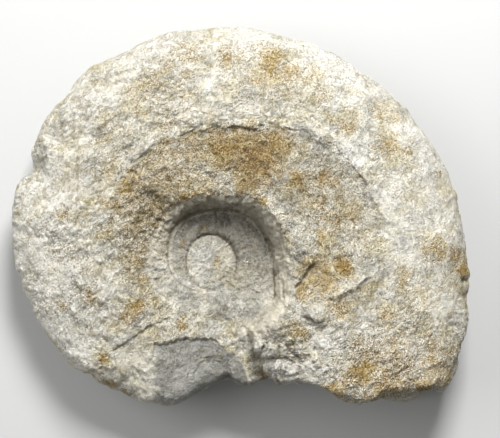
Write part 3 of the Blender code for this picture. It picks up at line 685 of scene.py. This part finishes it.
def makeStone():
    shape = bmesh.new()
    bmesh.ops.create_icosphere(shape, subdivisions=stone["ballCuts"], radius=1)
    cutLongEdges(shape)
    ball = np.array([v.co for v in shape.verts])
    points = stonePoint(ball)
    for vertex, point in zip(shape.verts, points):
        vertex.co = point
    shape.normal_update()
    normals = np.array([v.normal for v in shape.verts])
    above = ball[:, 2] > -0.1
    relief, darkCracksAndShade, reliefShading, calm = fineRelief(points, above)
    lifted = points + normals * relief[:, None]
    onGround = points[:, 2] < 0.02
    lifted[:, 2] = np.where(onGround, 0, np.clip(lifted[:, 2], 0, None))
    level, most = stone["highest"]
    over = np.clip(lifted[:, 2] - level, 0, None)
    lifted[:, 2] += most * (1 - np.exp(-over / most)) - over
    lifted[:, :2] += stone["coilAxis"]
    for vertex, point in zip(shape.verts, lifted * mm):
        vertex.co = point
    mesh = bpy.data.meshes.new(stone["name"])
    shape.to_mesh(mesh)
    shape.free()
    mesh.shade_smooth()
    for layer, values in colourLayers(points, darkCracksAndShade, reliefShading, calm).items():
        mesh.attributes.new(layer, "FLOAT", "POINT").data.foreach_set("value", values)
    piece = bpy.data.objects.new(stone["name"], mesh)
    bpy.context.scene.collection.objects.link(piece)
    print("stone:", len(mesh.polygons), "faces")
    return piece


class Paint:
    # a material's node tree, built one node at a time
    def __init__(self, name):
        self.material = bpy.data.materials.new(name)
        self.material.use_nodes = True
        self.nodes = self.material.node_tree.nodes
        self.links = self.material.node_tree.links
        self.shader = self.nodes["Principled BSDF"]

    def join(self, value, socket):
        if isinstance(value, bpy.types.NodeSocket):
            self.links.new(value, socket)
        else:
            socket.default_value = value

    def attribute(self, name):
        made = self.nodes.new("ShaderNodeAttribute")
        made.attribute_name = name
        return made.outputs["Fac"]

    def turned(self, place, angle, stretch, shift=0.0):
        # the same place in axes turned about Z, drawn out along the first of them
        made = self.nodes.new("ShaderNodeMapping")
        made.vector_type = "TEXTURE"
        made.inputs["Rotation"].default_value = (0, 0, math.radians(angle))
        made.inputs["Scale"].default_value = (stretch, 1, 1)
        made.inputs["Location"].default_value = (shift, shift, 0)
        self.join(place, made.inputs["Vector"])
        return made.outputs["Vector"]

    def cells(self, place, size, feature="F1"):
        made = self.nodes.new("ShaderNodeTexVoronoi")
        made.feature = feature
        self.join(place, made.inputs["Vector"])
        made.inputs["Scale"].default_value = 1 / (size * mm)
        return made.outputs["Distance"]

    def noise(self, place, size, detail=4, roughness=0.6, twist=0.0):
        made = self.nodes.new("ShaderNodeTexNoise")
        self.join(place, made.inputs["Vector"])
        made.inputs["Scale"].default_value = 1 / (size * mm)
        made.inputs["Detail"].default_value = detail
        made.inputs["Roughness"].default_value = roughness
        made.inputs["Distortion"].default_value = twist
        return made.outputs["Fac"]

    def maths(self, kind, one, two=0.0, three=0.0):
        made = self.nodes.new("ShaderNodeMath")
        made.operation = kind
        for value, socket in zip((one, two, three), made.inputs):
            self.join(value, socket)
        return made.outputs[0]

    def between(self, value, low, high, newLow=0.0, newHigh=1.0):
        made = self.nodes.new("ShaderNodeMapRange")
        made.interpolation_type = "SMOOTHSTEP"
        for name, given in (("Value", value), ("From Min", low), ("From Max", high),
                            ("To Min", newLow), ("To Max", newHigh)):
            self.join(given, made.inputs[name])
        return made.outputs["Result"]

    def mix(self, share, one, two, blend="MIX"):
        made = self.nodes.new("ShaderNodeMix")
        made.data_type = "RGBA"
        made.blend_type = blend
        self.join(share, made.inputs[0])
        self.join(one, made.inputs[6])
        self.join(two, made.inputs[7])
        return made.outputs[2]

    def bump(self, height, strength, distance, under=None):
        made = self.nodes.new("ShaderNodeBump")
        made.inputs["Strength"].default_value = strength
        made.inputs["Distance"].default_value = distance * mm
        self.join(height, made.inputs["Height"])
        if under is not None:
            self.join(under, made.inputs["Normal"])
        return made.outputs["Normal"]


# Colours, and sizes in mm of what the material shows
limestone = {
    "cream": (0.84, 0.81, 0.71, 1),
    "grey": (0.70, 0.69, 0.63, 1),
    "buff": (0.70, 0.61, 0.37, 1),
    "wall": (0.60, 0.55, 0.43, 1),
    "pale": (0.91, 0.89, 0.82, 1),
    "slate": (0.33, 0.335, 0.325, 1),
    "yellow": (0.53, 0.39, 0.135, 1),
    "rust": (0.35, 0.20, 0.047, 1),
    "clayAndShade": (0.235, 0.212, 0.165, 1),
    "shade": (0.23, 0.18, 0.11, 1),
    # painted shade between granules and in creases, grey-brown and amber
    "hollow": (0.50, 0.45, 0.33, 1),
    "amberShade": (0.53, 0.40, 0.18, 1),
    # a painted highlight on granule tops and raised relief
    "lit": (1.16, 1.16, 1.14, 1),
    "crystal": (0.85, 0.86, 0.85, 1),
    "granule": 0.46, "grit": 0.31, "wrinkle": 1.9, "plate": 2.3,
    "mottle": 2.4, "patch": 5.5, "warmPatch": 6.5, "broadPatch": 9,
    "bump": 2.0, "gritBump": 0.4,
}


def paintStone(piece):
    paint = Paint("weathered limestone")
    place = paint.nodes.new("ShaderNodeTexCoord").outputs["Object"]
    slanted = paint.turned(place, 40, 1.8)
    elsewhere = paint.turned(place, 20, 1.3, 0.07)
    broad = paint.noise(place, limestone["broadPatch"], 5, 0.62)
    middle = paint.noise(place, limestone["mottle"], 5, 0.65)
    warm = paint.noise(elsewhere, limestone["warmPatch"], 7, 0.68)
    granules = paint.noise(slanted, limestone["granule"], 3, 0.6)
    domes = paint.cells(slanted, limestone["granule"] * 1.25)
    granules = paint.maths("MULTIPLY_ADD", domes, -0.45, granules)
    grit = paint.between(paint.noise(place, limestone["grit"], 3, 0.6), 0.4, 0.6)
    ochre, slate, clayAndShade, pale, darkCracksAndShade, reliefShading, crystal, calm, mud, wall, grainy = (
        paint.attribute(name) for name in ("ochre", "slate", "clayAndShade", "pale", "darkCracksAndShade", "reliefShading",
                                           "crystal", "calm", "mud", "wall", "grainy"))
    grainy = paint.maths("MAXIMUM", grainy, ochre)
    wrinkles = paint.noise(slanted, limestone["wrinkle"], 4, 0.62, 0.7)
    wrinkles = paint.maths("ABSOLUTE", paint.maths("SUBTRACT", wrinkles, 0.5))
    wrinkles = paint.between(wrinkles, 0, 0.13)  # thin grooves between flatter plates
    patches = paint.turned(place, 50, 1.6, 0.03)
    patches = paint.noise(patches, limestone["patch"], 3, 0.55)  # rough and smooth
    lively = paint.maths("MULTIPLY", paint.between(calm, 0, 1, 1, 0.35),
                         paint.between(patches, 0.36, 0.6, 0.65, 1.3))
    rough = paint.maths("SUBTRACT", middle, 0.5)
    speck = paint.maths("SUBTRACT", granules, 0.28)
    # painted highlight and shade that follow the granules' and the grit's bumps
    grainShading = paint.maths("MULTIPLY_ADD", speck, 2.0,
                         paint.maths("MULTIPLY", paint.maths("SUBTRACT", grit, 0.5), 1.25))
    grainShading = paint.maths("MULTIPLY", grainShading, lively)
    grainShading = paint.maths("MULTIPLY", grainShading, paint.between(grainy, 0, 0.6, 0.32, 1))
    low = paint.maths("ADD", reliefShading, paint.between(patches, 0.36, 0.6, -0.13, 0.03))
    low = paint.maths("ADD", grainShading, low)
    # painted shade in the thin grooves
    grooveShade = paint.maths("MULTIPLY_ADD", wrinkles, 0.5, -0.42)
    low = paint.maths("MULTIPLY_ADD", grooveShade, lively, low)

    spread = paint.maths("MULTIPLY_ADD", rough, 0.7, broad)
    colour = paint.mix(paint.between(spread, 0.32, 0.52), limestone["grey"], limestone["cream"])
    warmth = paint.maths("MULTIPLY", paint.between(warm, 0.46, 0.6, 0, 0.7), lively)
    colour = paint.mix(warmth, colour, limestone["buff"])
    lightness = paint.maths("MULTIPLY_ADD", rough, 1.2, pale)
    colour = paint.mix(paint.between(lightness, 0.05, 0.8, 0, 0.85), colour, limestone["pale"])
    amount = paint.maths("MULTIPLY_ADD", rough, 1.1, slate)
    colour = paint.mix(paint.between(amount, 0.25, 0.95, 0, 0.85), colour, limestone["slate"])
    amount = paint.maths("MULTIPLY_ADD", rough, 1.25, ochre)
    amount = paint.maths("MULTIPLY_ADD", grainShading, -0.3, amount)
    colour = paint.mix(paint.between(amount, 0.15, 0.9, 0, 0.9), colour, limestone["yellow"])
    colour = paint.mix(paint.between(amount, 0.65, 1.35, 0, 0.85), colour, limestone["rust"])
    colour = paint.mix(paint.maths("MULTIPLY", wall, 0.75), colour, limestone["wall"])
    amount = paint.maths("MULTIPLY_ADD", rough, 0.8, clayAndShade)
    colour = paint.mix(paint.between(amount, 0.05, 1.0, 0, 0.85), colour, limestone["clayAndShade"])

    # granules: a painted highlight on their tops, and painted shade, dark or amber, between them
    between = paint.mix(paint.between(paint.maths("MULTIPLY_ADD", warm, 0.5, ochre), 0.4, 1.0),
                        limestone["hollow"], limestone["amberShade"])
    mottle = paint.maths("MULTIPLY_ADD", rough, 0.7, paint.maths("SUBTRACT", broad, 0.5))
    low = paint.maths("MULTIPLY_ADD", mottle, paint.between(calm, 0, 1, 0.6, 0.3), low)
    # painted shade in creases, grooves and between granules
    colour = paint.mix(paint.between(low, 0.52, -0.16), colour, between, "MULTIPLY")
    # a painted highlight where the relief stands out
    colour = paint.mix(paint.between(low, 0.55, 1.1), colour, limestone["lit"], "MULTIPLY")
    plates = paint.turned(place, 60, 1.4)
    plates = paint.cells(plates, limestone["plate"], "DISTANCE_TO_EDGE")
    plates = paint.maths("MULTIPLY_ADD", speck, 0.6, plates)
    cracked = paint.maths("MULTIPLY", paint.between(plates, 0.06, 0.0, 0, 0.5), mud)
    cracked = paint.maths("MULTIPLY", cracked, paint.between(middle, 0.45, 0.6))
    darkCracksAndShade = paint.maths("MAXIMUM", darkCracksAndShade, cracked)
    # dark cracks, and painted shade in cracks, pits, seams, under the ledge and between blocks
    colour = paint.mix(paint.between(darkCracksAndShade, 0.15, 0.95, 0, 0.75), colour, limestone["shade"])
    # white crystals, and a painted glint on the highest granules
    glint = paint.between(paint.maths("MULTIPLY_ADD", speck, 2.0, crystal), 0.78, 1.15, 0, 0.9)
    colour = paint.mix(glint, colour, limestone["crystal"])
    paint.join(colour, paint.shader.inputs["Base Color"])
    paint.join(paint.between(speck, -0.2, 0.2, 0.9, 0.6), paint.shader.inputs["Roughness"])
    paint.shader.inputs["Specular IOR Level"].default_value = 0.4
    granules = paint.maths("MULTIPLY", granules, paint.between(grainy, 0, 0.6, 0.6, 1))
    height = paint.maths("MULTIPLY_ADD", wrinkles, 0.3, granules)
    height = paint.maths("MULTIPLY", height, lively)
    under = paint.bump(height, 1.0, limestone["bump"])
    height = paint.maths("MULTIPLY_ADD", cracked, -0.5, paint.maths("MULTIPLY", grit, lively))
    normal = paint.bump(height, 1.0, limestone["gritBump"], under)
    paint.join(normal, paint.shader.inputs["Normal"])
    piece.data.materials.append(paint.material)
    print("stone painted")


piece = makeStone()
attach(piece, "root")
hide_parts("ammonite")

paintStone(piece)

ground = {"halfSize": 1.2, "colour": (0.42, 0.42, 0.415, 1), "roughness": 0.8}


def makeFloor():
    shape = bmesh.new()
    bmesh.ops.create_grid(shape, x_segments=2, y_segments=2, size=ground["halfSize"])
    mesh = bpy.data.meshes.new("floor")
    shape.to_mesh(mesh)
    shape.free()
    made = bpy.data.objects.new("floor", mesh)
    bpy.context.scene.collection.objects.link(made)
    paint = bpy.data.materials.new("pale floor")
    paint.use_nodes = True
    shader = paint.node_tree.nodes["Principled BSDF"]
    shader.inputs["Base Color"].default_value = ground["colour"]
    shader.inputs["Roughness"].default_value = ground["roughness"]
    mesh.materials.append(paint)
    return made


floor = makeFloor()

light = {
    "keyPlace": (0.08, 0.40, 0.42), "keySize": 0.18, "keyPower": 6.7,
    "fillPlace": (-0.45, 0.1, 0.4), "fillSize": 0.5, "fillPower": 2.4,
    "lookAt": (0, 0, 0.015), "sky": 0.28,
}


def addLight(name, place, size, power):
    lamp = bpy.data.lights.new(name, "AREA")
    lamp.size = size
    lamp.energy = power
    holder = bpy.data.objects.new(name, lamp)
    holder.location = place
    toward = Vector(light["lookAt"]) - Vector(place)
    holder.rotation_euler = toward.to_track_quat("-Z", "Y").to_euler()
    bpy.context.scene.collection.objects.link(holder)


addLight("key", light["keyPlace"], light["keySize"], light["keyPower"])
addLight("fill", light["fillPlace"], light["fillSize"], light["fillPower"])
world = bpy.data.worlds.new("studio")
world.use_nodes = True
sky = world.node_tree.nodes["Background"]
sky.inputs["Color"].default_value = (1, 1, 1, 1)
sky.inputs["Strength"].default_value = light["sky"]
bpy.context.scene.world = world
bpy.context.scene.view_settings.view_transform = "Standard"

# The camera looks straight down; the view is so wide at the height of the outline.
view = {"lookAt": (0.0031, -0.0005), "height": 0.435, "outlineHeight": 0.015, "width": 0.146,
        "sensor": 36}
camera = bpy.data.cameras.new("camera")
camera.sensor_width = view["sensor"]
camera.lens = view["sensor"] * (view["height"] - view["outlineHeight"]) / view["width"]
cameraHolder = bpy.data.objects.new("camera", camera)
cameraHolder.location = (*view["lookAt"], view["height"])
bpy.context.scene.collection.objects.link(cameraHolder)
bpy.context.scene.camera = cameraHolder
print("floor, lights and camera placed")
